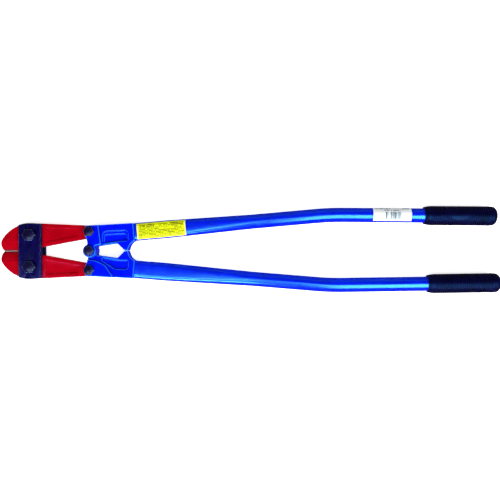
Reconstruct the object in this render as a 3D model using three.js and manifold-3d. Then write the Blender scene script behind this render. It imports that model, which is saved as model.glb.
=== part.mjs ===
// A long-handled bolt cutter, lying flat with its jaws closed.
// Millimetres. X runs from the jaws to the grips, Y across the handles, Z up through the pivots.
// While it is drawn, the origin is midway between the two plate bolts, at half the blades' thickness.
import * as THREE from 'three';
import { mergeVertices } from 'three/addons/utils/BufferGeometryUtils.js';
import Module from 'manifold-3d';

const wasm = await Module();
wasm.setup();

// ---- Driving dimensions ----

const gap = 0.3; // daylight left between faces that bear on each other
const roundSides = 32; // facets round a pin, a bolt or an eye

// Linkage
const plateBoltSpread = 59; // between the two plate bolts, across the tool
const bladeTail = 110; // from the plate bolts back to the outer bolts, along the tool
const toggle = 35.7; // from the centre bolt out to an outer bolt
const handleSwing = 60; // degrees that each handle opens

// Blades
const bladeThickness = 14;
const headWidth = 103.6; // across the closed head
const crownRadius = 63.5; // the head's round outer edge
const noseRadius = 17.6; // the rounded front of one jaw
const noseHeight = 12.5; // from the cutting line up to a jaw's foremost point
const shoulderBack = 25; // where the straight back edge starts, behind the plate bolts
const cuttingEnd = 19.5; // where the cutting line ends, ahead of the plate bolts
const tailRadius = 11.4; // the round end in the fork
const cuttingLand = 2.4; // thickness left at the cutting line
const bevelWidth = 19; // how far the ground bevel reaches back from the cutting line
const panelDepth = 1.2; // the shallow forged panel on each flank
const panelMargin = 8; // between that panel and the blade's long edges
const panelStart = 28; // behind the plate bolts
const panelLength = 58;

// Joining plates
const plateLength = 42;
const plateThickness = 8.5;
const plateRearHalf = 50; // from the tool's middle to a plate's rear corner

// Arm castings
const armThickness = 32; // across the fork's cheeks and the two lapped lobes
const armBody = 24; // across the rest of a casting
const eyeReach = 8; // casting ahead of an outer bolt
const eyeWall = 11.3; // casting outside an outer bolt
const lapRadius = 12; // the half-lapped lobe round the centre bolt
const waistReach = 3.5; // casting ahead of the centre line, between the two bolts
const windowFront = 12; // the six-sided window starts here, behind the centre bolt
const windowFrontHalf = 8.2;
const windowKnee = 50.5;
const windowKneeHalf = 13.8;
const stopFront = 64.6; // the two stop pads meet from here
const stopLength = 6;
const armLength = 82; // from the centre bolt to the handle tubes
const armSpread = 34.8; // from the tool's middle to a tube's centre, at the casting
const pocketDepth = 3;
const cheekStep = [17, 21.7]; // the lapped side's cheek ends this far behind the centre bolt, at each end
const shoulder = { start: 3, middle: 30, end: 43, low: 16.4, high: 27.5 }; // the other side's cheek
const pocketRim = 4; // metal left round the window, outside the pocket
const railWidth = 13; // metal left along the outer edge
const pocketFront = 24; // from the centre bolt
const pocketLength = 47;
const tangLength = 46;

// Handle tubes and grips
const tubeDiameter = 27; // outside, where the tube is round
const tubeWall = 2.6;
const flatWidth = 33.6; // across the pressed end that fits the casting
const flatHeight = 17.6;
const flatLength = 60; // fully pressed over this length
const flatRunout = 160; // and round again after this
const tubeSplay = 4.87; // degrees away from the tool's middle, ahead of the bend
const tubeReturn = 0.63; // degrees back towards it, behind the bend
const bendAt = 365; // the middle of the bend, along the tube
const bendRadius = 520;
const upperTubeLength = 670;
const gripOffset = 6; // how much farther back the lower grip sits
const gripLength = 135;
const gripDiameter = 36.6;
const gripCap = 6; // rubber behind the end of the tube
const gripDome = 9; // how much of the grip's end is rounded off
const crossPinDiameter = 6;
const crossPinSetback = 24; // behind the tube's front end

// Fasteners
const plateBolt = { diameter: 13, flats: 20.6, head: 7.6, nut: 7.2, washer: 1.8, washerWidth: 22 };
const armBolt = { diameter: 10, flats: 17, head: 6.6, nut: 6, washer: 1.6, washerWidth: 18 };
const threadShown = 1.2; // thread standing out past a nut

// Labels, by their place along a tube and their reach to each side of its crest
const labelThickness = 0.25;
const capacityLabel = { from: 5, length: 91, inward: 14.8, outward: 14.8 };
const sizeLabel = { from: 445, length: 71, inward: 12, outward: 22 };

// ---- Places worked out from the driving dimensions ----

const degrees = Math.PI / 180;
const swing = handleSwing * degrees;
const plateBoltY = plateBoltSpread / 2;
const halfBlade = bladeThickness / 2;
const halfArm = armThickness / 2;
const halfBody = armBody / 2;
const tubeRadius = tubeDiameter / 2;
const plateInner = halfBlade + gap;
const plateOuter = plateInner + plateThickness;
const splay = tubeSplay * degrees;
const bendTurn = (tubeSplay + tubeReturn) * degrees;
const tubeFront = new THREE.Vector2(bladeTail + armLength, armSpread);
const crown = new THREE.Vector2(0, headWidth / 2 - crownRadius); // centre of the head's round edge

// ---- Solids ----

// Turn a closed three.js geometry into a solid that can be joined and cut.
function solid(geometry) {
  const bare = geometry.clone();
  bare.deleteAttribute('normal');
  bare.deleteAttribute('uv');
  const merged = mergeVertices(bare, 1e-4);
  const corners = merged.index.array;
  const kept = [];
  for (let i = 0; i < corners.length; i += 3) {
    const [a, b, c] = corners.slice(i, i + 3);
    if (a !== b && b !== c && c !== a) kept.push(a, b, c);
  }
  const vertProperties = new Float32Array(merged.attributes.position.array);
  const triVerts = new Uint32Array(kept);
  return new wasm.Manifold(new wasm.Mesh({ numProp: 3, vertProperties, triVerts }));
}

// Extrude a flat shape between two heights.
function prism(shape, low, high) {
  const options = { depth: high - low, bevelEnabled: false, curveSegments: 12 };
  return solid(new THREE.ExtrudeGeometry(shape, options).translate(0, 0, low));
}

// A flat shape with straight sides.
function polygon(points) {
  return new THREE.Shape(points.map(([x, y]) => new THREE.Vector2(x, y)));
}

// A round bar standing on Z.
function bar(x, y, radius, low, high) {
  const geometry = new THREE.CylinderGeometry(radius, radius, high - low, roundSides);
  return solid(geometry.rotateX(Math.PI / 2).translate(x, y, (low + high) / 2));
}

// A hexagon bar standing on Z, with one corner towards the grips.
function hexBar(x, y, flats, low, high) {
  const corner = flats / 2 / Math.cos(30 * degrees);
  const points = [0, 1, 2, 3, 4, 5].map((i) => [
    x + corner * Math.cos(i * 60 * degrees),
    y + corner * Math.sin(i * 60 * degrees),
  ]);
  return prism(polygon(points), low, high);
}

// ---- Scene ----

const tool = new THREE.Group();

const paints = {
  blade: { color: 0xc01018, roughness: 0.35, metalness: 0.1 },
  plate: { color: 0x16163a, roughness: 0.4, metalness: 0.6 },
  bolt: { color: 0x14152c, roughness: 0.35, metalness: 0.7 },
  nut: { color: 0x1c1d33, roughness: 0.4, metalness: 0.7 },
  washer: { color: 0x2a2b40, roughness: 0.45, metalness: 0.7 },
  arm: { color: 0x0a1fd0, roughness: 0.4, metalness: 0.1 },
  tube: { color: 0x0c2be0, roughness: 0.3, metalness: 0.1 },
  grip: { color: 0x101014, roughness: 0.7, metalness: 0 },
  crossPin: { color: 0x0a1fb0, roughness: 0.4, metalness: 0.4 },
  capacityLabel: { color: 0xf0e400, roughness: 0.4, metalness: 0 },
  sizeLabel: { color: 0xe8eef4, roughness: 0.4, metalness: 0 },
};

// Give a solid its name and finish, and put it in the scene.
function add(name, made, paint, flipped = false) {
  const { vertProperties, triVerts } = made.getMesh();
  const indexed = new THREE.BufferGeometry();
  indexed.setAttribute('position', new THREE.BufferAttribute(vertProperties, 3));
  indexed.setIndex(new THREE.BufferAttribute(triVerts, 1));
  const geometry = indexed.toNonIndexed();
  geometry.computeVertexNormals();
  const mesh = new THREE.Mesh(geometry, new THREE.MeshStandardMaterial(paints[paint]));
  mesh.name = name;
  if (flipped) mesh.rotation.x = Math.PI;
  tool.add(mesh);
}

// ---- Blades ----

// The centre of a jaw's rounded nose, which meets the crown without a corner.
function noseCentre() {
  const rise = noseHeight - crown.y;
  const across = Math.sqrt((crownRadius - noseRadius) ** 2 - rise ** 2);
  return new THREE.Vector2(-across, noseHeight);
}

// The line that touches a circle and passes a point, as its angle and the point of touch.
function tangentFrom(x, y, centreX, centreY, radius, side) {
  const distance = Math.hypot(centreX - x, centreY - y);
  const angle = Math.atan2(centreY - y, centreX - x) + side * Math.asin(radius / distance);
  return { angle, x: centreX - side * radius * Math.sin(angle), y: centreY + side * radius * Math.cos(angle) };
}

const backY = crown.y + Math.sqrt(crownRadius ** 2 - (plateLength / 2) ** 2);
const shoulderY = Math.max(backY, plateRearHalf) + 1;
const flank = tangentFrom(-cuttingEnd, gap / 2, bladeTail, toggle, tailRadius, -1);
const back = tangentFrom(shoulderBack, shoulderY, bladeTail, toggle, tailRadius, 1);

function bladeOutline() {
  const nose = noseCentre();
  const noseFoot = Math.asin((nose.y - gap / 2) / noseRadius);
  const noseTop = Math.atan2(nose.y - crown.y, nose.x - crown.x);
  const crownEnd = Math.PI / 2;
  const shape = new THREE.Shape();
  shape.moveTo(-cuttingEnd, gap / 2);
  shape.lineTo(nose.x - noseRadius * Math.cos(noseFoot), gap / 2);
  shape.absarc(nose.x, nose.y, noseRadius, Math.PI + noseFoot, noseTop, true);
  shape.absarc(crown.x, crown.y, crownRadius, noseTop, crownEnd, true);
  shape.lineTo(shoulderBack, shoulderY);
  shape.lineTo(back.x, back.y);
  const tailTop = back.angle + 90 * degrees;
  const tailFoot = flank.angle - 90 * degrees;
  shape.absarc(bladeTail, toggle, tailRadius, tailTop, tailFoot, true);
  shape.closePath();
  return shape;
}

// The ground bevel, as the wedge that is taken off above the cutting line.
function bevelWedge() {
  const rise = halfBlade + 1;
  const slope = (halfBlade - cuttingLand / 2) / bevelWidth;
  const section = polygon([
    [gap / 2 - 1, cuttingLand / 2 - slope],
    [gap / 2 + bevelWidth, halfBlade],
    [gap / 2 + bevelWidth, rise],
    [gap / 2 - 1, rise],
  ]);
  const front = noseRadius - noseCentre().x + 1;
  const options = { depth: front - plateLength / 2, bevelEnabled: false };
  const wedge = new THREE.ExtrudeGeometry(section, options);
  const turned = new THREE.Matrix4().makeBasis(
    new THREE.Vector3(0, 1, 0),
    new THREE.Vector3(0, 0, 1),
    new THREE.Vector3(1, 0, 0),
  );
  return solid(wedge.applyMatrix4(turned).translate(-front, 0, 0));
}

// The shallow panel between a blade's two long edges.
function bladePanel() {
  const flankSlope = Math.tan(flank.angle);
  const backSlope = Math.tan(back.angle);
  const corner = (x) => [
    [x, flank.y + (x - flank.x) * flankSlope + panelMargin],
    [x, back.y + (x - back.x) * backSlope - panelMargin],
  ];
  const [frontLow, frontHigh] = corner(panelStart);
  const [rearLow, rearHigh] = corner(panelStart + panelLength);
  return polygon([frontLow, rearLow, rearHigh, frontHigh]);
}

// Where a plate bolt stands in its blade, part way through opening. The blade is carried by its
// arm, and both turn in a constant ratio, so the bolt is on its centre only when the tool is
// closed and when it is fully open.
function boltInBlade(share) {
  const arm = Math.hypot(bladeTail, toggle - plateBoltY);
  const rest = Math.asin((toggle - plateBoltY) / arm);
  const turn = rest - Math.asin((toggle * Math.cos(swing) - plateBoltY) / arm);
  const slide = arm * (Math.cos(rest - turn) - Math.cos(rest)) + toggle * Math.sin(swing);
  const handle = swing * share;
  const blade = turn * share;
  const x = -(bladeTail + slide * share - toggle * Math.sin(handle) - arm * Math.cos(rest - blade));
  const y = plateBoltY - (toggle * Math.cos(handle) - arm * Math.sin(rest - blade));
  return {
    x: x * Math.cos(blade) - y * Math.sin(blade),
    y: plateBoltY + x * Math.sin(blade) + y * Math.cos(blade),
  };
}

// The hole that clears a plate bolt all the way from closed to open.
function plateBoltHole() {
  const radius = plateBolt.diameter / 2 + gap;
  const steps = 12;
  let hole = bar(0, plateBoltY, radius, -halfBlade - 1, halfBlade + 1);
  for (let i = 1; i < steps; i += 1) {
    const { x, y } = boltInBlade(i / steps);
    hole = hole.add(bar(x, y, radius, -halfBlade - 1, halfBlade + 1));
  }
  return hole;
}

function bladeSolid() {
  const wedge = bevelWedge();
  const panel = bladePanel();
  return prism(bladeOutline(), -halfBlade, halfBlade)
    .subtract(wedge)
    .subtract(wedge.mirror([0, 0, 1]))
    .subtract(prism(panel, halfBlade - panelDepth, halfBlade + 1))
    .subtract(prism(panel, -halfBlade - 1, panelDepth - halfBlade))
    .subtract(plateBoltHole())
    .subtract(bar(bladeTail, toggle, armBolt.diameter / 2 + gap, -halfBlade - 1, halfBlade + 1));
}

// ---- Joining plates ----

function plateSolid() {
  const half = plateLength / 2;
  const frontAngle = Math.atan2(backY - crown.y, -half);
  const shape = new THREE.Shape();
  const top = headWidth / 2;
  shape.moveTo(half, -plateRearHalf);
  shape.lineTo(half, plateRearHalf);
  shape.quadraticCurveTo(half / 2, top, 0, top);
  shape.absarc(0, crown.y, crownRadius, Math.PI / 2, frontAngle, false);
  shape.lineTo(-half, -backY);
  shape.absarc(0, -crown.y, crownRadius, -frontAngle, -Math.PI / 2, false);
  shape.quadraticCurveTo(half / 2, -top, half, -plateRearHalf);
  const hole = plateBolt.diameter / 2 + gap;
  return prism(shape, plateInner, plateOuter)
    .subtract(bar(0, plateBoltY, hole, plateInner - 1, plateOuter + 1))
    .subtract(bar(0, -plateBoltY, hole, plateInner - 1, plateOuter + 1));
}

// ---- Arm castings ----

// The slot that the blade's tail turns in, from closed to fully open.
function forkSlot() {
  const radius = tailRadius + 1;
  const foot = flank.angle - Math.PI / 2;
  const startX = bladeTail + radius * Math.cos(foot);
  const startY = toggle + radius * Math.sin(foot);
  const reach = eyeReach + radius + 10;
  const shape = new THREE.Shape();
  shape.absarc(bladeTail, toggle, radius, 0, foot, true);
  shape.lineTo(startX - reach * Math.cos(flank.angle), startY - reach * Math.sin(flank.angle));
  shape.lineTo(bladeTail - reach, toggle + 3 * radius);
  shape.lineTo(bladeTail + radius, toggle + 3 * radius);
  shape.closePath();
  return prism(shape, -halfBlade - gap, halfBlade + gap);
}

function armOutline() {
  const eyeTop = toggle + eyeWall;
  const corner = eyeReach / 2;
  const across = new THREE.Vector2(-Math.sin(splay), Math.cos(splay)).multiplyScalar(flatWidth / 2);
  const end = tubeFront.clone().sub(new THREE.Vector2(gap * Math.cos(splay), gap * Math.sin(splay)));
  const x = (fromCentre) => bladeTail + fromCentre;
  const shape = new THREE.Shape();
  shape.moveTo(x(0), gap / 2);
  shape.lineTo(x(-waistReach), lapRadius);
  shape.quadraticCurveTo(x(-waistReach), toggle - eyeWall - corner, x(-eyeReach), toggle - eyeReach);
  shape.lineTo(x(-eyeReach), eyeTop - corner);
  shape.quadraticCurveTo(x(-eyeReach), eyeTop, x(corner - eyeReach), eyeTop);
  shape.lineTo(end.x + across.x, end.y + across.y);
  shape.lineTo(end.x - across.x, end.y - across.y);
  const stopRear = stopFront + stopLength;
  shape.quadraticCurveTo(x(stopRear + 3), (end.y - across.y) * 0.85, x(stopRear), gap / 2);
  shape.lineTo(x(stopFront), gap / 2);
  shape.lineTo(x(windowKnee), windowKneeHalf);
  shape.lineTo(x(windowFront), windowFrontHalf);
  shape.lineTo(x(windowFront), gap / 2);
  shape.closePath();
  return shape;
}

// The sunk panel on each face of a casting, between its outer rail and the window's rim.
function armPocket() {
  const front = bladeTail + pocketFront;
  const rear = front + pocketLength;
  const railSlope = (tubeFront.y + flatWidth / 2 - toggle - eyeWall) / (armLength + eyeReach);
  const rail = (x) => toggle + eyeWall - railWidth + (x - bladeTail) * railSlope;
  const rimSlope = (windowKneeHalf - windowFrontHalf) / (windowKnee - windowFront);
  const kneeX = bladeTail + windowKnee + pocketRim / 2;
  const rim = windowFrontHalf + pocketRim;
  return polygon([
    [front, rim + rimSlope * (pocketFront - windowFront)],
    [kneeX, windowKneeHalf + pocketRim],
    [rear, windowKneeHalf + pocketRim / 2],
    [rear, rail(rear)],
    [front, rail(front)],
  ]);
}

// The cheek that stands proud of a casting on its lapped side, between the outer bolt and the lobe.
function lappedCheek() {
  const high = toggle + 3 * eyeWall;
  const slope = (cheekStep[1] - cheekStep[0]) / (toggle + eyeWall - lapRadius);
  const front = bladeTail - eyeReach - 1;
  const foot = lapRadius - 2.5;
  return polygon([
    [front, high],
    [front, foot],
    [bladeTail + lapRadius, foot],
    [bladeTail + cheekStep[1], lapRadius],
    [bladeTail + cheekStep[0] - slope * (high - toggle - eyeWall), high],
  ]);
}

// The cheek on the other side, which sweeps back to the outer rail.
function sweptCheek() {
  const high = toggle + 3 * eyeWall;
  const front = bladeTail - eyeReach - 1;
  const shape = new THREE.Shape();
  shape.moveTo(front, high);
  shape.lineTo(front, shoulder.low - 1);
  shape.lineTo(bladeTail + shoulder.start, shoulder.low);
  shape.quadraticCurveTo(
    bladeTail + shoulder.middle / 2,
    shoulder.low + 1,
    bladeTail + shoulder.middle,
    shoulder.high,
  );
  shape.lineTo(bladeTail + shoulder.end, toggle + eyeWall);
  shape.lineTo(bladeTail + shoulder.end, high);
  shape.closePath();
  return shape;
}

// The flat tang at the back of a casting that fills the pressed end of its tube.
function tang() {
  const halfHeight = flatHeight / 2 - tubeWall - gap;
  const halfRun = (flatWidth - flatHeight) / 2;
  const buried = 6;
  const shape = new THREE.Shape();
  shape.absarc(halfRun, 0, halfHeight, -Math.PI / 2, Math.PI / 2, false);
  shape.absarc(-halfRun, 0, halfHeight, Math.PI / 2, 1.5 * Math.PI, false);
  shape.closePath();
  const options = { depth: tangLength + buried, bevelEnabled: false, curveSegments: 8 };
  const geometry = new THREE.ExtrudeGeometry(shape, options);
  return solid(alongTube(geometry.rotateX(-Math.PI / 2).translate(0, -buried, 0)));
}

function armSolid() {
  const pocket = armPocket();
  const boltHole = armBolt.diameter / 2 + gap;
  const blank = prism(armOutline(), -halfArm, halfArm);
  const past = halfArm + 1;
  return prism(armOutline(), -halfBody, halfBody)
    .add(blank.intersect(prism(lappedCheek(), halfBody - 1, past)))
    .add(blank.intersect(prism(sweptCheek(), -past, 1 - halfBody)))
    .subtract(prism(pocket, halfBody - pocketDepth, past))
    .subtract(prism(pocket, -past, pocketDepth - halfBody))
    .subtract(bar(bladeTail, 0, lapRadius + gap, -past, gap / 2))
    .add(bar(bladeTail, 0, lapRadius, gap / 2, halfArm))
    .subtract(forkSlot())
    .subtract(bar(bladeTail, toggle, boltHole, -past, past))
    .subtract(bar(bladeTail, 0, boltHole, -past, past))
    .add(tang())
    .subtract(crossPin(crossPinDiameter / 2 + gap, flatWidth));
}

// ---- Handle tubes, grips and what is on them ----

// Half a tube's width and height at a distance along it.
function tubeSection(along) {
  const share = THREE.MathUtils.clamp((along - flatLength) / flatRunout, 0, 1);
  return {
    halfWidth: THREE.MathUtils.lerp(flatWidth / 2, tubeRadius, share),
    halfHeight: THREE.MathUtils.lerp(flatHeight / 2, tubeRadius, share),
  };
}

// Press a geometry drawn along Y on a round tube, so that it has the tube's flattened end.
function pressFlat(geometry) {
  const places = geometry.attributes.position;
  for (let i = 0; i < places.count; i += 1) {
    const [x, along, z] = [places.getX(i), places.getY(i), places.getZ(i)];
    const { halfWidth, halfHeight } = tubeSection(along);
    const out = Math.hypot(x, z);
    const height = halfHeight - tubeRadius + out;
    const run = Math.abs(x) < 1e-6 ? 0 : Math.sign(x) * (halfWidth - halfHeight);
    places.setXYZ(i, run + (height * x) / out, along, (height * z) / out);
  }
  return geometry;
}

// Where a tube's middle is at a distance along it, and which way it heads there.
function tubeMiddle(along) {
  const bendLength = bendRadius * bendTurn;
  const bendStart = bendAt - bendLength / 2;
  const inBend = THREE.MathUtils.clamp(along - bendStart, 0, bendLength);
  const turn = inBend / bendRadius;
  const before = Math.min(along, bendStart);
  const after = Math.max(along - bendStart - bendLength, 0);
  const heading = splay - turn;
  const x = before * Math.cos(splay) + bendRadius * (Math.sin(splay) - Math.sin(heading));
  const y = before * Math.sin(splay) + bendRadius * (Math.cos(heading) - Math.cos(splay));
  return {
    x: tubeFront.x + x + after * Math.cos(heading),
    y: tubeFront.y + y + after * Math.sin(heading),
    heading,
  };
}

// Bend a geometry drawn along Y, so that it follows a tube. X turns to the tube's inner side.
function alongTube(geometry) {
  const places = geometry.attributes.position;
  for (let i = 0; i < places.count; i += 1) {
    const middle = tubeMiddle(places.getY(i));
    const side = places.getX(i);
    const x = middle.x + side * Math.sin(middle.heading);
    const y = middle.y - side * Math.cos(middle.heading);
    places.setXYZ(i, x, y, places.getZ(i));
  }
  return geometry;
}

// Distances along a tube where its surface has an edge loop: its ends, its pressed end, its bend.
function tubeStations(length) {
  const bendLength = bendRadius * bendTurn;
  const stations = [0, flatLength, flatLength + flatRunout];
  for (let i = 0; i <= 4; i += 1) stations.push(bendAt - bendLength / 2 + (bendLength * i) / 4);
  stations.push(length);
  return [...new Set(stations)].filter((s) => s <= length).sort((a, b) => a - b);
}

function tubeSolid(length) {
  const stations = tubeStations(length);
  const outside = stations.map((s) => new THREE.Vector2(tubeRadius, s));
  const inside = stations.map((s) => new THREE.Vector2(tubeRadius - tubeWall, s)).reverse();
  const profile = [...outside, ...inside, outside[0].clone()];
  return solid(alongTube(pressFlat(new THREE.LatheGeometry(profile, 28))));
}

// A rubber sleeve with a domed, closed end.
function gripSolid(tubeLength) {
  const end = tubeLength + gripCap;
  const front = end - gripLength;
  const bore = tubeRadius + gap;
  const radius = gripDiameter / 2;
  const profile = [[bore, front], [radius - 1, front], [radius, front + 2], [radius, end - gripDome]];
  for (let i = 1; i <= 4; i += 1) {
    const angle = i * 22.5 * degrees;
    const out = radius - gripDome + gripDome * Math.cos(angle);
    profile.push([out, end - gripDome + gripDome * Math.sin(angle)]);
  }
  profile.push([0, end], [0, tubeLength + gap], [bore, tubeLength + gap], [bore, front]);
  const points = profile.map(([r, s]) => new THREE.Vector2(r, s));
  return solid(alongTube(new THREE.LatheGeometry(points, 28)));
}

// The pin that locks a tube on its tang, lying across the handle.
function crossPin(radius, length) {
  const middle = tubeMiddle(crossPinSetback);
  const geometry = new THREE.CylinderGeometry(radius, radius, length, 16);
  return solid(geometry.rotateZ(middle.heading).translate(middle.x, middle.y, 0));
}

// A thin label laid over a tube's crest, clear of it by the usual gap.
function labelSolid({ from, length, inward, outward }) {
  const geometry = new THREE.BoxGeometry(inward + outward, length, labelThickness, 16, 6, 1);
  geometry.translate((inward - outward) / 2, from + length / 2, labelThickness / 2);
  const places = geometry.attributes.position;
  for (let i = 0; i < places.count; i += 1) {
    const [across, along, lift] = [places.getX(i), places.getY(i), places.getZ(i)];
    const { halfWidth, halfHeight } = tubeSection(along);
    const run = halfWidth - halfHeight;
    const level = THREE.MathUtils.clamp(across, -run, run);
    const angle = (across - level) / halfHeight;
    const radius = halfHeight + gap + lift;
    places.setXYZ(i, level + radius * Math.sin(angle), along, radius * Math.cos(angle));
  }
  return solid(alongTube(geometry));
}

// ---- Fasteners ----

// A bolt with its nut and washer, clamping what lies between two heights.
function fasten(name, x, y, size, reach) {
  const seat = reach + gap;
  const nutTop = -seat - size.washer - gap;
  const nutFoot = nutTop - size.nut;
  const radius = size.diameter / 2;
  const clear = radius + gap;
  const bolt = bar(x, y, radius, nutFoot - threadShown, seat + 1)
    .add(hexBar(x, y, size.flats, seat, seat + size.head));
  const washer = bar(x, y, size.washerWidth / 2, -seat - size.washer, -seat)
    .subtract(bar(x, y, clear, -seat - size.washer - 1, 1 - seat));
  const nut = hexBar(x, y, size.flats, nutFoot, nutTop)
    .subtract(bar(x, y, clear, nutFoot - 1, nutTop + 1));
  add(`${name}_bolt`, bolt, 'bolt');
  add(`${name}_washer`, washer, 'washer');
  add(`${name}_nut`, nut, 'nut');
}

// ---- Assembly ----

const lowerTubeLength = upperTubeLength + gripOffset;
const pinLength = flatWidth - 2 * gap;
const pinHole = crossPinDiameter / 2 + gap;

add('upper_blade', bladeSolid(), 'blade');
add('lower_blade', bladeSolid(), 'blade', true);
add('top_plate', plateSolid(), 'plate');
add('bottom_plate', plateSolid(), 'plate', true);
fasten('upper_plate', 0, plateBoltY, plateBolt, plateOuter);
fasten('lower_plate', 0, -plateBoltY, plateBolt, plateOuter);
fasten('centre', bladeTail, 0, armBolt, halfArm);
fasten('upper_outer', bladeTail, toggle, armBolt, halfArm);
fasten('lower_outer', bladeTail, -toggle, armBolt, halfArm);

const drilledTube = (length) => tubeSolid(length).subtract(crossPin(pinHole, 2 * flatWidth));
add('upper_arm', armSolid(), 'arm');
add('lower_arm', armSolid(), 'arm', true);
add('upper_tube', drilledTube(upperTubeLength), 'tube');
add('lower_tube', drilledTube(lowerTubeLength), 'tube', true);
add('upper_cross_pin', crossPin(crossPinDiameter / 2, pinLength), 'crossPin');
add('lower_cross_pin', crossPin(crossPinDiameter / 2, pinLength), 'crossPin', true);
add('upper_grip', gripSolid(upperTubeLength), 'grip');
add('lower_grip', gripSolid(lowerTubeLength), 'grip', true);
add('capacity_label', labelSolid(capacityLabel), 'capacityLabel');
add('size_label', labelSolid(sizeLabel), 'sizeLabel');

// Stand the finished tool on the ground plane, with the origin on its middle line, halfway along.
const box = new THREE.Box3().setFromObject(tool);
tool.position.set(-(box.min.x + box.max.x) / 2, 0, -box.min.z);

export default tool;
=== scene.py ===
# %% [markdown]
# # Bolt cutters
# A pair of long-handled bolt cutters lies on a pale floor. Its working shapes, sizes and joints
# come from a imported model, the frame. This lesson gives every piece its finished shape and
# surface. We start by loading the frame and reading the few places that everything hangs on.

# %% Load the frame
import math

import bpy
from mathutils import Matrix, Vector


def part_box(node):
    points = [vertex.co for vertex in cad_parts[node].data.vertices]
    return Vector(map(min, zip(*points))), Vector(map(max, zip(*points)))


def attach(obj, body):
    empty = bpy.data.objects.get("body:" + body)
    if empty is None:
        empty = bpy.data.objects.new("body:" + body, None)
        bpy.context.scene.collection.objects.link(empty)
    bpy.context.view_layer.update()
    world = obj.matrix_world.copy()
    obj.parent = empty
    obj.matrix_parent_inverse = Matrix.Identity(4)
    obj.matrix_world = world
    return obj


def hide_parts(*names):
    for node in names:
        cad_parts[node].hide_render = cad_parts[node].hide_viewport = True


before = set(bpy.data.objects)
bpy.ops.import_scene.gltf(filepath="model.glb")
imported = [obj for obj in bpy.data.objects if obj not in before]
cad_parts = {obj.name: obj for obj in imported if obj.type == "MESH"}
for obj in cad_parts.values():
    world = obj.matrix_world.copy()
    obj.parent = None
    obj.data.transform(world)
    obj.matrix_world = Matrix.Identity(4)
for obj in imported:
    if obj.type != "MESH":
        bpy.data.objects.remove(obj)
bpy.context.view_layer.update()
mm = 0.001

# %% [markdown]
# The pivots fix the layout. Each bolt stands in the middle of its own box, so the centre of that
# box is the pivot. `at` then turns millimetres behind the plate bolts, and millimetres to the
# upper side of the tool, into a place in the scene. Working this way means that no piece needs
# fitting by eye.

# %% Find the pivots
def middle(node):
    low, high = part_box(node)
    return (Vector(low) + Vector(high)) / 2


plate_bolt = middle("upper_plate_bolt")
outer_bolt = middle("upper_outer_bolt")
half_height = middle("upper_blade").z  # the tool's middle plane, above the floor
head_x = plate_bolt.x


def at(back, up, height=0.0):
    """A place, from millimetres behind the plate bolts, off the middle line and off mid-height."""
    return Vector((head_x + back * mm, up * mm, half_height + height * mm))


tail = (outer_bolt.x - head_x) / mm
toggle = outer_bolt.y / mm
bolt_side = plate_bolt.y / mm
print(f"outer bolts {tail:.1f} mm behind the plate bolts, {toggle:.1f} mm off the middle line")

# %% [markdown]
# ## Working habits
# An operator in Blender acts on whatever is selected, and loading the frame leaves its pieces
# selected. So the first habit is to let go of everything before adding a shape. The second is to
# name each piece at once. The third is to write a piece's place into its mesh when it is done,
# so that its own origin stays at the scene's origin, as the frame's pieces do.

# %% Selection and edit mode
def let_go():
    if bpy.context.object and bpy.context.object.mode != "OBJECT":
        bpy.ops.object.mode_set(mode="OBJECT")
    bpy.ops.object.select_all(action="DESELECT")


def hold(*pieces):
    """Select only these pieces, the first of them active."""
    let_go()
    for piece in pieces:
        piece.select_set(True)
    bpy.context.view_layer.objects.active = pieces[0]
    return pieces[0]


def named(name):
    piece = bpy.context.object
    piece.name = name
    piece.data.name = name
    return piece


def settle(piece):
    """Write the piece's place, turn and scale into its mesh."""
    hold(piece)
    bpy.ops.object.transform_apply(location=True, rotation=True, scale=True)
    return piece


def edit(piece, mode="FACE"):
    hold(piece)
    bpy.ops.object.mode_set(mode="EDIT")
    bpy.ops.mesh.select_mode(type=mode)


def pick(piece, test, mode="FACE"):
    """In edit mode, select only the faces, edges or corners that pass a test."""
    edit(piece, mode)
    bpy.ops.mesh.select_all(action="DESELECT")
    bpy.ops.object.mode_set(mode="OBJECT")
    parts = {"FACE": piece.data.polygons, "EDGE": piece.data.edges, "VERT": piece.data.vertices}
    for part in parts[mode]:
        part.select = bool(test(part))
    bpy.ops.object.mode_set(mode="EDIT")


def outward(piece):
    """Merge doubled corners, then turn every face outwards."""
    edit(piece, "VERT")
    bpy.ops.mesh.select_all(action="SELECT")
    bpy.ops.mesh.remove_doubles(threshold=0.005 * mm)
    bpy.ops.mesh.normals_make_consistent(inside=False)
    let_go()
    return piece


# %% [markdown]
# Modifiers do the work that would be slow by hand. A boolean cuts or joins one shape with
# another, and a bevel rounds every edge that is sharper than a set angle. Each is applied at
# once, so that the next step starts from real faces.

# %% Modifiers, applied as we go
def apply_modifier(piece, kind, **settings):
    hold(piece)
    modifier = piece.modifiers.new(kind.title(), kind)
    for key, value in settings.items():
        setattr(modifier, key, value)
    bpy.ops.object.modifier_apply(modifier=modifier.name)
    return piece


def combine(piece, other, operation):
    apply_modifier(piece, "BOOLEAN", object=other, operation=operation, solver="EXACT")
    bpy.data.objects.remove(other)
    return piece


def cut(piece, other):
    return combine(piece, other, "DIFFERENCE")


def join(piece, other):
    return combine(piece, other, "UNION")


def round_edges(piece, width, segments=2, angle=30):
    return apply_modifier(
        piece, "BEVEL", width=width * mm, segments=segments, limit_method="ANGLE",
        angle_limit=math.radians(angle), miter_outer="MITER_ARC", use_clamp_overlap=True,
    )


def shade(piece, angle=35):
    hold(piece)
    bpy.ops.object.shade_smooth_by_angle(angle=math.radians(angle))
    return piece


def copied(piece, name):
    """A copy with a mesh of its own."""
    twin = piece.copy()
    twin.data = piece.data.copy()
    twin.name = name
    twin.data.name = name
    bpy.context.collection.objects.link(twin)
    return twin


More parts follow.
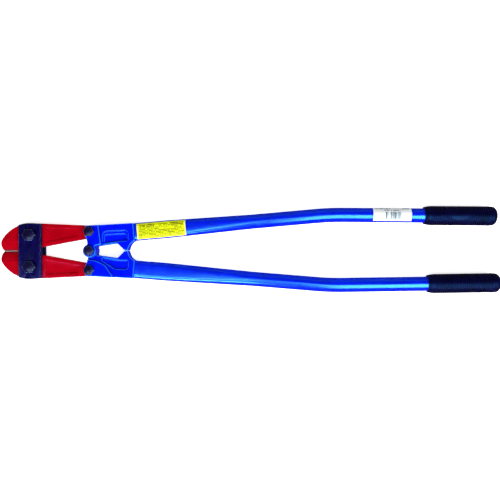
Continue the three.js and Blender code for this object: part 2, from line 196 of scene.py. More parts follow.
def turned_over(piece, name):
    """A copy turned half round the tool's long axis, as the lower half of a pair is."""
    twin = copied(piece, name)
    twin.location = (0, 0, 2 * half_height)
    twin.rotation_euler = (math.pi, 0, 0)
    return settle(twin)


# %% [markdown]
# Flat parts such as the blades start as an outline. A modeller would place one corner, extrude
# it along each straight edge, spin it round a centre for each round edge, then fill the loop and
# pull it up to its thickness. `slab` does exactly that. A plane merged to its middle gives the
# first corner, and with no window open a spin goes clockwise as seen from above. A cutter for a
# sunk panel is made the same way, and its top is then scaled up a little, because the walls of
# forged and cast panels lean outwards.

# %% A slab from an outline
def slab(name, start, steps, low, high, lean=0):
    """A straight step is (back, up). A round step is its centre and its end, going clockwise."""
    let_go()
    here = at(*start, low)
    bpy.ops.mesh.primitive_plane_add(size=mm, location=here)
    piece = named(name)
    edit(piece, "VERT")
    bpy.ops.mesh.merge(type="CENTER")
    for step in steps:
        if isinstance(step[0], tuple):
            centre, there = at(*step[0], low), at(*step[1], low)
            first, last = here - centre, there - centre
            turn = (math.atan2(first.y, first.x) - math.atan2(last.y, last.x)) % math.tau
            count = max(2, round(math.degrees(turn) / 4))
            bpy.ops.mesh.spin(steps=count, angle=turn, center=centre, axis=(0, 0, 1))
        else:
            there = at(*step, low)
            bpy.ops.mesh.extrude_vertices_move(TRANSFORM_OT_translate={"value": there - here})
        here = there
    bpy.ops.mesh.select_all(action="SELECT")
    bpy.ops.mesh.remove_doubles(threshold=0.01 * mm)
    bpy.ops.mesh.edge_face_add()
    rise = (0, 0, (high - low) * mm)
    bpy.ops.mesh.extrude_region_move(TRANSFORM_OT_translate={"value": rise})
    if lean:
        lengths = [step[-1] if isinstance(step[0], tuple) else step for step in (start, *steps)]
        sides = [max(c) - min(c) for c in zip(*lengths)]
        middle_point = at(*[(max(c) + min(c)) / 2 for c in zip(*lengths)], high)
        growth = [1 + 2 * lean / side for side in sides]
        bpy.ops.transform.resize(value=(*growth, 1), center_override=middle_point)
    bpy.ops.mesh.select_all(action="SELECT")
    bpy.ops.mesh.normals_make_consistent(inside=False)
    return settle(piece)


def bow(start, pull, end, count=8):
    """Straight steps that make a bowed edge, which leans towards a pull point."""
    shares = [i / count for i in range(1, count + 1)]
    return [
        tuple((1 - t) ** 2 * a + 2 * t * (1 - t) * b + t * t * c for a, b, c in zip(start, pull, end))
        for t in shares
    ]


def disc(name, back, up, radius, low, high, sides=64):
    """A round or many-sided bar standing on its end, with one corner to the back."""
    let_go()
    bpy.ops.mesh.primitive_cylinder_add(
        vertices=sides, radius=radius * mm, depth=(high - low) * mm,
        location=at(back, up, (low + high) / 2), rotation=(0, 0, -math.pi / 2),
    )
    return settle(named(name))


# %% [markdown]
# Round parts are turned, as on a lathe: half of the section is drawn as a line of corners, and
# `turned` spins it once round the upright axis. A line that starts and ends on the axis closes
# itself into a solid. One that ends where it started makes a ring.

# %% A turned part
def turned(name, profile, sides=48):
    """profile is a list of (radius, height) in millimetres, spun round Z at the scene's origin."""
    let_go()
    places = [Vector((radius * mm, 0, height * mm)) for radius, height in profile]
    bpy.ops.mesh.primitive_plane_add(size=mm, location=places[0])
    piece = named(name)
    edit(piece, "VERT")
    bpy.ops.mesh.merge(type="CENTER")
    for here, there in zip(places, places[1:]):
        bpy.ops.mesh.extrude_vertices_move(TRANSFORM_OT_translate={"value": there - here})
    bpy.ops.mesh.select_all(action="SELECT")
    bpy.ops.mesh.spin(steps=sides, angle=math.tau, center=(0, 0, 0), axis=(0, 0, 1))
    settle(piece)
    return outward(piece)


def placed(piece, back, up, height=0.0):
    piece.location = at(back, up, height)
    return settle(piece)


# %% [markdown]
# ## The blades
# A blade is a forged lever. The two jaws meet on a straight cutting line, and the head's outer
# edge is one round sweep, so the outline is two arcs and two long straight edges that touch the
# round tail. Both straight edges are tangents, which the next cell works out, so that no edge
# meets a round with a kink.

# %% Blade outline
half_blade = 7
crown_radius, crown_top = 63.5, 51.8
crown = (0, crown_top - crown_radius)
half_kerf = 0.15  # from the middle line to a face that meets its twin
nose_radius = 17.6
nose_up = 12.5
cutting_end = (-19.5, half_kerf)
shoulder = (25, 51)
tail_radius = 11.4


def tangent(place, side):
    """The angle of the line from a place that touches the blade's tail, and where it touches."""
    run, rise = tail - place[0], toggle - place[1]
    angle = math.atan2(rise, run) + side * math.asin(tail_radius / math.hypot(run, rise))
    touch = (tail - side * tail_radius * math.sin(angle), toggle + side * tail_radius * math.cos(angle))
    return angle, touch


nose_back = -math.sqrt((crown_radius - nose_radius) ** 2 - (nose_up - crown[1]) ** 2)
nose = (nose_back, nose_up)
nose_foot = (nose_back - math.sqrt(nose_radius**2 - (nose_up - half_kerf) ** 2), half_kerf)
nose_angle = math.atan2(nose_up - crown[1], nose_back)
nose_top = (crown_radius * math.cos(nose_angle), crown[1] + crown_radius * math.sin(nose_angle))
flank_angle, flank_touch = tangent(cutting_end, -1)
back_angle, back_touch = tangent(shoulder, 1)
outline = [
    nose_foot, (nose, nose_top), (crown, (0, crown_top)), shoulder, back_touch,
    ((tail, toggle), flank_touch),
]
blade = slab("blade", cutting_end, outline, -half_blade, half_blade)
print("blade outline", [round(side / mm, 1) for side in blade.dimensions], "mm")

# %% [markdown]
# A bevel is ground on both sides of the cutting line, down to a 2.4 mm land. A grinding wheel
# would pass along the edge, so the cutter is a block laid on the slope. Each flank also has a
# shallow forged panel, which saves weight and shows as a long frame.

# %% Grind the bevel and sink the panels
bevel_width = 19
land = 1.2
slope = math.atan((half_blade - land) / bevel_width)
bevel_front, bevel_rear = -58, -21
wheel_half = 10  # half the thickness of the block that stands for the wheel
for side in (1, -1):
    let_go()
    lift = wheel_half * math.cos(slope) + (half_blade + land) / 2
    across = half_kerf + bevel_width / 2 - wheel_half * math.sin(slope)
    place = at((bevel_front + bevel_rear) / 2, across, side * lift)
    bpy.ops.mesh.primitive_cube_add(location=place, rotation=(side * slope, 0, 0))
    wheel = named("wheel")
    wheel.scale = ((bevel_rear - bevel_front) / 2 * mm, 25 * mm, wheel_half * mm)
    cut(blade, settle(wheel))


def panel_corner(back, touch, angle, margin):
    return (back, touch[1] + (back - touch[0]) * math.tan(angle) + margin)


panel_start, panel_end, panel_depth, panel_margin = 28, 86, 1.2, 8
panel = [
    panel_corner(panel_start, flank_touch, flank_angle, panel_margin),
    panel_corner(panel_start, back_touch, back_angle, -panel_margin),
    panel_corner(panel_end, back_touch, back_angle, -panel_margin),
    panel_corner(panel_end, flank_touch, flank_angle, panel_margin),
]
cut(blade, slab("panel", panel[0], panel[1:], half_blade - panel_depth, half_blade + 1, lean=1.3))
cut(blade, slab("panel", panel[0], panel[1:], panel_depth - half_blade, -half_blade - 1, lean=1.3))
print(f"bevel ground at {math.degrees(slope):.1f} degrees,", len(blade.data.polygons), "faces")

# %% [markdown]
# The plate bolt's hole is longer than the bolt. Blade and arm turn at steady rates, and so the
# bolt stands at its centre only when the tool is closed or fully open; between the two it drifts
# a few millimetres. The hole is one drilling for each step of the way. The joining plates hide it.

# %% Drill the blade
swing = math.radians(60)
bolt_radius, arm_bolt_radius, gap = 6.5, 5, 0.3
link = math.hypot(tail, toggle - bolt_side)
link_rest = math.asin((toggle - bolt_side) / link)
link_turn = link_rest - math.asin((toggle * math.cos(swing) - bolt_side) / link)
link_slide = link * (math.cos(link_rest - link_turn) - math.cos(link_rest)) + toggle * math.sin(swing)


def bolt_in_blade(share):
    """Where the plate bolt stands in its blade, part way through opening."""
    handle, turn = swing * share, link_turn * share
    back = toggle * math.sin(handle) + link * math.cos(link_rest - turn) - tail - link_slide * share
    up = bolt_side - toggle * math.cos(handle) + link * math.sin(link_rest - turn)
    return (
        back * math.cos(turn) - up * math.sin(turn),
        bolt_side + back * math.sin(turn) + up * math.cos(turn),
    )


drillings = 12
for step in range(drillings + 1):
    cut(blade, disc("drill", *bolt_in_blade(step / drillings), bolt_radius + gap, -8, 8, sides=32))
cut(blade, disc("drill", tail, toggle, arm_bolt_radius + gap, -8, 8))
round_edges(blade, 0.7, segments=3, angle=14)
shade(outward(blade), 30)
wander = max(math.dist(bolt_in_blade(step / drillings), (0, bolt_side)) for step in range(drillings))
print(f"the bolt drifts up to {wander:.1f} mm,", len(blade.data.polygons), "faces")

# %% [markdown]
# ## The joining plates
# Two thick plates clamp the blades and carry the load of a cut from one plate bolt to the other.
# They follow the head's round edge and are square at the back. A broad chamfer all round comes
# from one bevel, and a finer bevel on top of it breaks the last sharp edge.

# %% A joining plate
plate_foot, plate_top = 7.3, 15.8
plate_half, plate_front, rear_corner = 21, 48.2, 50
plate_steps = [
    (-plate_half, plate_front), (crown, (0, crown_top)),
    *bow((0, crown_top), (plate_half / 2, crown_top), (plate_half, rear_corner)),
    (plate_half, -rear_corner),
    *bow((plate_half, -rear_corner), (plate_half / 2, -crown_top), (0, -crown_top)),
    ((0, -crown[1]), (-plate_half, -plate_front)),
]
plate = slab("plate", (-plate_half, -plate_front), plate_steps, plate_foot, plate_top)
for side in (1, -1):
    cut(plate, disc("drill", 0, side * bolt_side, bolt_radius + gap, plate_foot - 1, plate_top + 1))
pick(plate, lambda face: face.normal.z > 0.9 and face.area > 1000 * mm * mm)
bpy.ops.mesh.bevel(offset=1.3 * mm, segments=1, affect="EDGES")
round_edges(plate, 0.3, segments=2, angle=25)
shade(outward(plate), 25)
print("plate", [round(side / mm, 1) for side in plate.dimensions], "mm")

# %% [markdown]
# ## Bolts, nuts and washers
# Every fastener is a hexagon, so one blank serves them all: a six-sided bar whose corners are
# taken off by a wide, shallow cone, as the maker's lathe leaves them. That cut gives the curved
# scallops on the flats which tell the eye that it is a real bolt. The shank is turned, and its
# thread is a stack of ridges at the real pitch.

# %% A hexagon blank
def hexagon(name, flats, low, high, both_ends):
    corner = flats / 2 / math.cos(math.radians(30))
    blank = disc(name, 0, 0, corner, low, high, sides=6)
    crown_width = flats / 2 * 0.9
    chamfer = (corner + 1 - crown_width) * math.tan(math.radians(34))
    profile = [(0, low), (corner + 1, low), (corner + 1, high - chamfer), (crown_width, high), (0, high)]
    if both_ends:
        profile[1:2] = [(crown_width, low), (corner + 1, low + chamfer)]
    lathe = placed(turned("lathe", profile, 64), 0, 0)
    return combine(blank, lathe, "INTERSECT")


# %% A bolt, its nut and its washer
def bolt_set(radius, flats, head, nut, washer, washer_radius, seat, pitch):
    """The three pieces for one size of bolt, standing at the middle of the tool's head.

    head, nut and washer are thicknesses. seat is where they bear, off the tool's middle plane.
    """
    foot = -seat - washer - gap - nut - 1.2
    bolt = hexagon("bolt", flats, seat, seat + head, both_ends=False)
    profile = [(0, foot), (radius - 1.1, foot), (radius - 0.3, foot + 0.9)]
    height = foot + 1.2
    while height < foot + 11:
        profile += [(radius - 0.75, height), (radius, height + pitch / 2)]
        height += pitch
    profile += [(radius - 0.75, height), (radius, height + pitch / 2), (radius, seat + 0.6), (0, seat + 0.6)]
    join(bolt, placed(turned("shank", profile), 0, 0))
    round_edges(bolt, 0.35, segments=2, angle=40)
    nut_top = -seat - washer - gap
    nut_piece = hexagon("nut", flats, nut_top - nut, nut_top, both_ends=True)
    cut(nut_piece, disc("tap", 0, 0, radius + gap, nut_top - nut - 1, nut_top + 1))
    round_edges(nut_piece, 0.3, segments=2, angle=40)
    low, high, inner = -seat - washer, -seat, radius + gap
    ring = [
        (inner, low), (washer_radius - 0.4, low), (washer_radius, low + 0.4),
        (washer_radius, high - 0.3), (washer_radius - 0.3, high), (inner, high), (inner, low),
    ]
    washer_piece = placed(turned("washer", ring, 64), 0, 0)
    for piece in (bolt, nut_piece, washer_piece):
        shade(outward(piece), 35)
    return {"bolt": bolt, "washer": washer_piece, "nut": nut_piece}


plate_set = bolt_set(
    bolt_radius, flats=20.6, head=7.6, nut=7.2, washer=1.8, washer_radius=11, seat=16.1, pitch=1.75,
)
arm_set = bolt_set(
    arm_bolt_radius, flats=17, head=6.6, nut=6, washer=1.6, washer_radius=9, seat=16.3, pitch=1.5,
)
print("bolt lengths", [round(s["bolt"].dimensions.z / mm, 1) for s in (plate_set, arm_set)], "mm")

# %% [markdown]
# ## The arm castings
# Each handle ends in a casting: a fork that holds the blade's tail, half of the middle hinge, and
# the stop that meets the other arm when the tool closes. The rough shape is built from slabs at
# full sharpness, like the pattern that a foundry would carve. Its outline comes first.

# %% Casting outline
arm_half, body_half = 16, 12
lap_radius = 12
splay = math.radians(4.87)
arm_end, arm_spread, flat_half = 82, 34.8, 16.8
outer_rail = 47  # from the middle line out to the casting's outer edge
proud = 17  # a height clear of the fork's faces


def behind(back, up):
    """A place measured from the centre bolt."""
    return (tail + back, up)


end_back, end_up = arm_end - gap * math.cos(splay), arm_spread - gap * math.sin(splay)
end_outer = behind(end_back - flat_half * math.sin(splay), end_up + flat_half * math.cos(splay))
end_inner = behind(end_back + flat_half * math.sin(splay), end_up - flat_half * math.cos(splay))
casting_outline = [
    behind(-3.5, 12),
    *bow(behind(-3.5, 12), behind(-3.5, 20.4), behind(-8, 27.7)),
    behind(-8, 43),
    *bow(behind(-8, 43), behind(-8, outer_rail), behind(-4, outer_rail)),
    end_outer,
    end_inner,
    *bow(end_inner, behind(73.6, end_inner[1] * 0.85), behind(70.6, half_kerf)),
    behind(64.6, half_kerf),
    behind(50.5, 13.8),
    behind(12, 8.2),
    behind(12, half_kerf),
]
arm = slab("arm", behind(0, half_kerf), casting_outline, -body_half, body_half)
print("casting", [round(side / mm, 1) for side in arm.dimensions], "mm")

# %% [markdown]
# The two faces of a casting differ. On the lapped side, a smooth cheek stands proud round the
# outer bolt and ends at a near-straight step. On the other side, the cheek sweeps back to the
# outer rail. Each cheek is the same outline cut off by its own border, so that the sides stay
# flush.

# %% Cheeks
lapped_border = [
    behind(-12, 9.5), behind(12, 9.5), behind(21.7, 12), behind(17, outer_rail), behind(15, 60),
]
lapped = slab("lapped cheek", behind(-12, 60), lapped_border, 11, proud)
blank = slab("blank", behind(0, half_kerf), casting_outline, 11, arm_half)
join(arm, combine(lapped, blank, "INTERSECT"))
swept_border = [
    behind(-12, 15.4), behind(3, 16.4),
    *bow(behind(3, 16.4), behind(15, 17.4), behind(30, 27.5)),
    behind(43, outer_rail), behind(43, 60),
]
swept = slab("swept cheek", behind(-12, 60), swept_border, -proud, -11)
blank = slab("blank", behind(0, half_kerf), casting_outline, -arm_half, -11)
join(arm, combine(swept, blank, "INTERSECT"))

# %% [markdown]
# Sunk pockets lighten the web between the hinge and the handle. The lapped side's pocket goes
# down in two steps along the outer rail. The other side's is one broad step. Both keep a rim
# round the window, and the flat collar at the back where the tube meets the casting.

# %% Pockets
rail_rise = (end_outer[1] - outer_rail) / (arm_end + 4)
web_half = 8.4


def rail(back, up):
    """A place along the outer rail, which climbs slowly towards the handle."""
    return behind(back, up + (back - 40) * rail_rise)


knee_rim = behind(52, 17.8)
upper_step = [
    rail(24.5, 32), rail(30, 36.4), rail(66, 36.4), rail(71, 32),
    behind(71, 18.5), knee_rim, behind(24.5, 13.5),
]
cut(arm, slab("pocket", behind(24.5, 15), upper_step, 10.4, proud, lean=0.8))
lower_step = [
    rail(28, 28), rail(30, 30), rail(65, 30), rail(68, 27.5), behind(68, 20), knee_rim, behind(28, 14.4),
]
cut(arm, slab("pocket", behind(28, 16), lower_step, web_half, proud, lean=0.8))
broad_step = [rail(46, 32.6), rail(66, 32.6), rail(70, 29), behind(70, 19), behind(52, 18.4), behind(24, 14)]
cut(arm, slab("pocket", behind(24, 19), broad_step, -web_half, -proud, lean=2.4))
print("pockets leave a web", 2 * web_half, "mm thick")

# %% [markdown]
# The half lap comes next. Each arm keeps only its own half of the round lobe at the centre bolt,
# and the fork slot lets the blade's tail turn from closed to fully open.

# %% Lap, fork slot and holes
cut(arm, disc("lap", tail, 0, lap_radius + gap, -proud, half_kerf))
join(arm, disc("lobe", tail, 0, lap_radius, half_kerf, arm_half))
slot_radius = tail_radius + 1
slot_foot = flank_angle - math.pi / 2
slot_corner = (tail + slot_radius * math.cos(slot_foot), toggle + slot_radius * math.sin(slot_foot))
slot_reach = 8 + slot_radius + 10
slot_front = (
    slot_corner[0] - slot_reach * math.cos(flank_angle),
    slot_corner[1] - slot_reach * math.sin(flank_angle),
)
slot_steps = [
    ((tail, toggle), slot_corner), slot_front,
    (tail - slot_reach, toggle + 3 * slot_radius), (tail + slot_radius, toggle + 3 * slot_radius),
]
cut(arm, slab("slot", (tail + slot_radius, toggle), slot_steps, -half_blade - gap, half_blade + gap))

# %% [markdown]
# The tang at the back fills the pressed end of the tube. It is a round bar at each side with a
# flat between them, laid along the handle.

# %% Tang
tang_half, tang_run, tang_long = 8.8 - 2.6 - gap, 8, 52
tang_reach = tang_long / 2 - 6  # it starts 6 mm inside the casting
tang_back = tail + arm_end + tang_reach * math.cos(splay)
tang_up = arm_spread + tang_reach * math.sin(splay)
for side in (1, -1):
    back, up = tang_back - side * tang_run * math.sin(splay), tang_up + side * tang_run * math.cos(splay)
    let_go()
    bpy.ops.mesh.primitive_cylinder_add(
        vertices=32, radius=tang_half * mm, depth=tang_long * mm,
        location=at(back, up), rotation=(0, math.pi / 2, splay),
    )
    join(arm, settle(named("tang")))
let_go()
bpy.ops.mesh.primitive_cube_add(size=1, location=at(tang_back, tang_up), rotation=(0, 0, splay))
flat = named("tang")
flat.scale = (tang_long * mm, 2 * tang_run * mm, 2 * tang_half * mm)
join(arm, settle(flat))

# %% [markdown]
# Cast metal has no sharp corner anywhere: inside corners are filled and outside ones are worn
# round in the mould. Bevelling hundreds of crossing edges would be fragile. Rebuilding the whole
# skin in small even cells and letting it relax rounds every edge at once, which is how the real
# surface comes about. The bolt holes are drilled after that, because machined holes are crisp.

# %% Cast skin
arm = outward(arm)
apply_modifier(arm, "REMESH", mode="VOXEL", voxel_size=0.75 * mm)
apply_modifier(arm, "SMOOTH", factor=0.5, iterations=9)
for up in (0, toggle):
    cut(arm, disc("drill", tail, up, arm_bolt_radius + gap, -18, 18))
hold(arm)
bpy.ops.object.shade_smooth_by_angle(angle=math.radians(50))
print("casting skin", len(arm.data.polygons), "faces")

# %% [markdown]
# ## The handle tubes
# A handle is a round steel tube, pressed flat at the front so that it grips the casting's tang,
# and bent once so that the two grips end up side by side. A curve with a round bevel can't change
# its section along the way. So the tube is lofted: one ring of corners for each station, its two
# halves pulled apart where the tube is pressed, and all the rings bridged at once.

# %% Where the tube runs
tube_radius, tube_wall = 13.5, 2.6
pressed_half = (16.8, 8.8)  # half the width and half the height of the pressed end
pressed_long, runout_long = 60, 160
bend_at, bend_radius, bend_turn = 365, 520, math.radians(4.87 + 0.63)
bend_long = bend_radius * bend_turn
bend_start = bend_at - bend_long / 2
upper_long, lower_long = 670, 676


def tube_middle(along):
    """The tube's middle at a distance along it, and the way it heads there."""
    heading = splay - min(max(along - bend_start, 0), bend_long) / bend_radius
    before, after = min(along, bend_start), max(along - bend_start - bend_long, 0)
    back = before * math.cos(splay) + bend_radius * (math.sin(splay) - math.sin(heading))
    up = before * math.sin(splay) + bend_radius * (math.cos(heading) - math.cos(splay))
    back += tail + arm_end + after * math.cos(heading)
    up += arm_spread + after * math.sin(heading)
    return back, up, heading


def tube_section(along):
    """Half the tube's width and half its height."""
    share = min(max((along - pressed_long) / runout_long, 0), 1)
    return [half + (tube_radius - half) * share for half in pressed_half]


# %% Loft a tube
def tube_ring(along):
    back, up, heading = tube_middle(along)
    half_width, half_high = tube_section(along)
    let_go()
    bpy.ops.mesh.primitive_circle_add(
        vertices=64, radius=half_high * mm, location=at(back, up),
        rotation=(math.pi / 2, 0, heading - math.pi / 2),
    )
    ring = named("ring")
    spread = Vector((math.sin(heading), -math.cos(heading), 0)) * (half_width - half_high) * mm
    for side in (1, -1):
        pick(ring, lambda corner: side * corner.co.x > 0.01 * mm, "VERT")
        bpy.ops.transform.translate(value=side * spread)
    let_go()
    return ring


def tube(name, length):
    stations = [0, 0.6, 20, 40, 54, 60, *range(68, 220, 8), 220, 240, 280, 320]
    stations += [bend_start + bend_long * step / 10 for step in range(11)]
    stations += [420, 480, 540, 600, length]
    piece = hold(*[tube_ring(along) for along in stations])
    bpy.ops.object.join()
    piece.name = piece.data.name = name
    settle(piece)
    edit(piece, "EDGE")
    bpy.ops.mesh.select_all(action="SELECT")
    bpy.ops.mesh.bridge_edge_loops()
    outward(piece)
    apply_modifier(piece, "SOLIDIFY", thickness=tube_wall * mm, offset=-1, use_even_offset=True)
    return round_edges(piece, 0.5, segments=2, angle=60)


def round_pin(name, along, length, radius):
    """A round pin across the tube."""
    back, up, heading = tube_middle(along)
    let_go()
    bpy.ops.mesh.primitive_cylinder_add(
        vertices=40, radius=radius * mm, depth=length * mm,
        location=at(back, up), rotation=(math.pi / 2, 0, heading),
    )
    return settle(named(name))


upper_pipe = tube("upper pipe", upper_long)
lower_pipe = tube("lower pipe", lower_long)
pin_along, pin_radius = 24, 3
cross_pin = round_edges(round_pin("cross pin", pin_along, 33, pin_radius), 0.7, segments=3)
for piece in (upper_pipe, lower_pipe):
    cut(piece, round_pin("drill", pin_along, 60, pin_radius + gap))
    shade(outward(piece), 40)
cut(arm, round_pin("drill", pin_along, 60, pin_radius + gap))
shade(outward(cross_pin), 30)
print("tube", len(upper_pipe.data.polygons), "faces, bend", round(math.degrees(bend_turn), 2), "degrees")

# %% [markdown]
# ## The grips
# Each grip is a moulded rubber sleeve: a tapered collar at the front, fine ring ribs along most
# of its length, a plain oval where the mould carries no ribs, a slightly larger rim, and a domed
# end. The ribs go all the way round, so the sleeve is one turned part. The oval is a second,
# smooth sleeve, kept only where an upright oval bar passes through it, and joined on.

# %% Turn a grip
grip_radius, grip_long, grip_cap = 18.3, 135, 6
rib_pitch, rib_depth = 3.9, 0.8
rib_start, rib_count = 11, 27


def rib_profile():
    bore = tube_radius + gap
    profile = [(bore, 0), (bore + 1.6, 0), (bore + 2.4, 0.7), (17.2, 6.2), (17.75, 9.2)]
    for rib in range(rib_count):
        foot = rib_start + rib * rib_pitch
        low, high = grip_radius - 0.15 - rib_depth, grip_radius - 0.15
        profile += [(low, foot), (high - 0.1, foot + 0.7), (high, foot + 1.3)]
        profile += [(high, foot + 2.3), (high - 0.1, foot + 2.9), (low, foot + 3.6)]
    end_radius, dome = 17.9, 9
    profile += [(17.75, 117), (grip_radius, 118), (grip_radius, 122), (17.8, 123.2), (end_radius, 125)]
    for angle in range(0, 90, 10):
        turn = math.radians(angle)
        out = end_radius - dome + dome * math.cos(turn)
        profile.append((out, grip_long - dome + dome * math.sin(turn)))
    top = grip_long - grip_cap + gap
    return [*profile, (0, grip_long), (0, top), (bore, top), (bore, 0)]


def grip(name, tube_long):
    sleeve = turned(name, rib_profile(), 96)
    smooth = turned("plain", [(0, 40), (18.22, 40), (18.22, 88), (0, 88)], 96)
    let_go()
    bpy.ops.mesh.primitive_cylinder_add(vertices=48, radius=1, depth=12 * mm, location=(-16 * mm, 0, 63 * mm))
    oval = named("oval")
    oval.rotation_euler = (0, math.pi / 2, 0)
    oval.scale = (17.5 * mm, 8.5 * mm, 1)
    plain = combine(smooth, settle(oval), "INTERSECT")
    join(sleeve, plain)
    back, up, heading = tube_middle(tube_long + grip_cap - grip_long)
    sleeve.rotation_euler = (0, math.pi / 2, heading)
    sleeve.location = at(back, up)
    return shade(outward(settle(sleeve)), 38)


upper_sleeve = grip("upper sleeve", upper_long)
lower_sleeve = grip("lower sleeve", lower_long)
print("grip", len(upper_sleeve.data.polygons), "faces,", rib_count, "ribs")

# %% [markdown]
# ## The labels
# A label is a thin printed film. The yellow one lies on the pressed end, and the white one wraps
# over the crest of the round part and down the outer side. Each starts as a fine grid, with its
# corners cut off round. The grid's own UV map stays with it, so the printing follows the film.

# %% Bend a film over the tube
def bend_round(piece, start, length, shift):
    """Lay the flat film over the tube's crest: flat over the pressed part, round beyond it."""
    for corner in piece.data.vertices:
        along = start + length / 2 + corner.co.x / mm
        across = corner.co.y / mm + shift
        back, up, heading = tube_middle(along)
        half_width, half_high = tube_section(along)
        run = half_width - half_high
        level = min(max(across, -run), run)
        angle = (across - level) / half_high
        reach = half_high + gap
        side = level + reach * math.sin(angle)
        back, up = back - side * math.sin(heading), up + side * math.cos(heading)
        corner.co = at(back, up, reach * math.cos(angle))
    apply_modifier(piece, "SOLIDIFY", thickness=0.25 * mm, offset=1, use_even_offset=True)
    return shade(piece, 40)


# %% A label film
def film(name, start, length, inner_reach, outer_reach, rows):
    """A label that starts some way along the tube and reaches to each side of its crest."""
    width = inner_reach + outer_reach
    let_go()
    bpy.ops.mesh.primitive_grid_add(
        x_subdivisions=round(length / 2), y_subdivisions=rows, size=1, calc_uvs=True,
    )
    piece = named(name)
    piece.scale = (length * mm, width * mm, 1)
    settle(piece)
    corners = [
        corner.index for corner in piece.data.vertices
        if abs(corner.co.x) > (length / 2 - 0.01) * mm and abs(corner.co.y) > (width / 2 - 0.01) * mm
    ]
    pick(piece, lambda corner: corner.index in corners, "VERT")
    bpy.ops.mesh.bevel(offset=1 * mm, segments=3, affect="VERTICES")
    let_go()
    return bend_round(piece, start, length, (outer_reach - inner_reach) / 2)


capacity_film = film("capacity film", 5, 91, 14.8, 14.8, 24)
size_film = film("size film", 445, 71, 12, 22, 34)
print("films", [[round(v / mm, 1) for v in f.dimensions] for f in (capacity_film, size_film)])

# %% [markdown]
# ## Finishes
# Every finish starts from one shader. The small helpers below add a node and join it up, so that
# each finish reads as a short list of what a painter or a plater did. All patterns read the
# object's own coordinates in metres, and so a noise scale of 1000 makes grains of a millimetre.

# %% Helpers for finishes
class Finish:
    def __init__(self, name, **values):
        self.surface = bpy.data.materials.new(name)
        self.surface.use_nodes = True
        self.tree = self.surface.node_tree
        self.shader = self.tree.nodes["Principled BSDF"]
        for socket, value in values.items():
            self.shader.inputs[socket.replace("_", " ")].default_value = value
        self.place = self.add("TexCoord").outputs["Object"]

    def add(self, kind, inputs=(), **settings):
        """Add a node. Each input is a value or another node's output."""
        made = self.tree.nodes.new("ShaderNode" + kind)
        for key, value in settings.items():
            setattr(made, key, value)
        for key, value in dict(inputs).items():
            if isinstance(value, bpy.types.NodeSocket):
                self.tree.links.new(value, made.inputs[key])
            else:
                made.inputs[key].default_value = value
        return made

    def math(self, operation, *values):
        return self.add("Math", enumerate(values), operation=operation).outputs[0]

    def times(self, first, second):
        return self.math("MULTIPLY", first, second)

    def either(self, first, second):
        return self.math("MAXIMUM", first, second)

    def noise(self, scale, detail=3.0, roughness=0.5, stretch=None):
        place = self.place
        if stretch:
            place = self.add("Mapping", {"Vector": place, "Scale": stretch}).outputs[0]
        values = {"Vector": place, "Scale": scale, "Detail": detail, "Roughness": roughness}
        return self.add("TexNoise", values).outputs["Fac"]

    def spread(self, value, low, high, to_low=0.0, to_high=1.0):
        """Stretch the part of a value between low and high over a new range."""
        inputs = {"Value": value, "From Min": low, "From Max": high, "To Min": to_low, "To Max": to_high}
        return self.add("MapRange", inputs, clamp=True).outputs[0]

    def mix(self, share, first, second):
        inputs = {0: share, 6: first, 7: second}
        return self.add("Mix", inputs, data_type="RGBA").outputs[2]

    def blend(self, share, first, second):
        return self.add("Mix", {0: share, 2: first, 3: second}, data_type="FLOAT").outputs[0]

    def edges(self, radius):
        """Bright where the surface turns sharply within a radius in millimetres."""
        rounded = self.add("Bevel", {"Radius": radius * mm}, samples=6).outputs[0]
        flat = self.add("NewGeometry").outputs["Normal"]
        along = self.add("VectorMath", {0: rounded, 1: flat}, operation="DOT_PRODUCT").outputs["Value"]
        return self.spread(along, 0.999, 0.93)

    def bumps(self, *layers):
        """Each layer is a height and how many millimetres it stands."""
        normal = None
        for height, depth in layers:
            inputs = {"Height": height, "Distance": depth * mm, "Strength": 1.0}
            if normal:
                inputs["Normal"] = normal
            normal = self.add("Bump", inputs).outputs[0]
        self.link("Normal", normal)

    def link(self, socket, value):
        self.tree.links.new(value, self.shader.inputs[socket])


# %% [markdown]
# The enamel on all the blue and red parts is built in the same order: a slightly uneven colour,
# a skin like orange peel, fine rubs that dull the gloss, and bare steel where an edge has been
# knocked. The castings show the grain of the sand under the paint; the tubes are drawn smooth,
# with faint scratches along their length. A tube's paint is also the glossiest, so it mirrors
# more, which a higher index of refraction gives.

# %% Enamel
steel = (0.42, 0.43, 0.46, 1)


def enamel(name, deep, bright, grain, grain_depth, chip, rub_stretch, gloss, sheen_colour):
    """A low chip loses more paint. rub_stretch draws the rubs out along the piece."""
    paint = Finish(name, Specular_IOR_Level=gloss, Specular_Tint=sheen_colour)
    clouds = paint.spread(paint.noise(38, 4), 0.3, 0.7)
    colour = paint.mix(clouds, deep, bright)
    rubs = paint.spread(paint.noise(60, 5, 0.6, rub_stretch), 0.62, 0.72)
    rubbed = (*[tone * 1.6 + 0.03 for tone in bright[:3]], 1)
    colour = paint.mix(paint.times(rubs, 0.18), colour, rubbed)
    worn = paint.times(paint.edges(0.9), paint.spread(paint.noise(210, 6, 0.65), chip, chip + 0.06))
    specks = paint.spread(paint.noise(330, 2), chip + 0.2, chip + 0.22)
    bare = paint.either(worn, specks)
    paint.link("Base Color", paint.mix(bare, colour, steel))
    paint.link("Metallic", bare)
    dull = paint.spread(paint.noise(120, 4), 0.3, 0.7, 0.16, 0.23)
    dull = paint.math("ADD", dull, paint.times(rubs, 0.12))
    paint.link("Roughness", paint.blend(bare, dull, 0.34))
    peel = paint.noise(700, 2)
    depth = paint.times(bare, -1.0)
    paint.bumps((paint.noise(grain, 4, 0.6), grain_depth), (peel, 0.02), (depth, 0.06))
    return paint


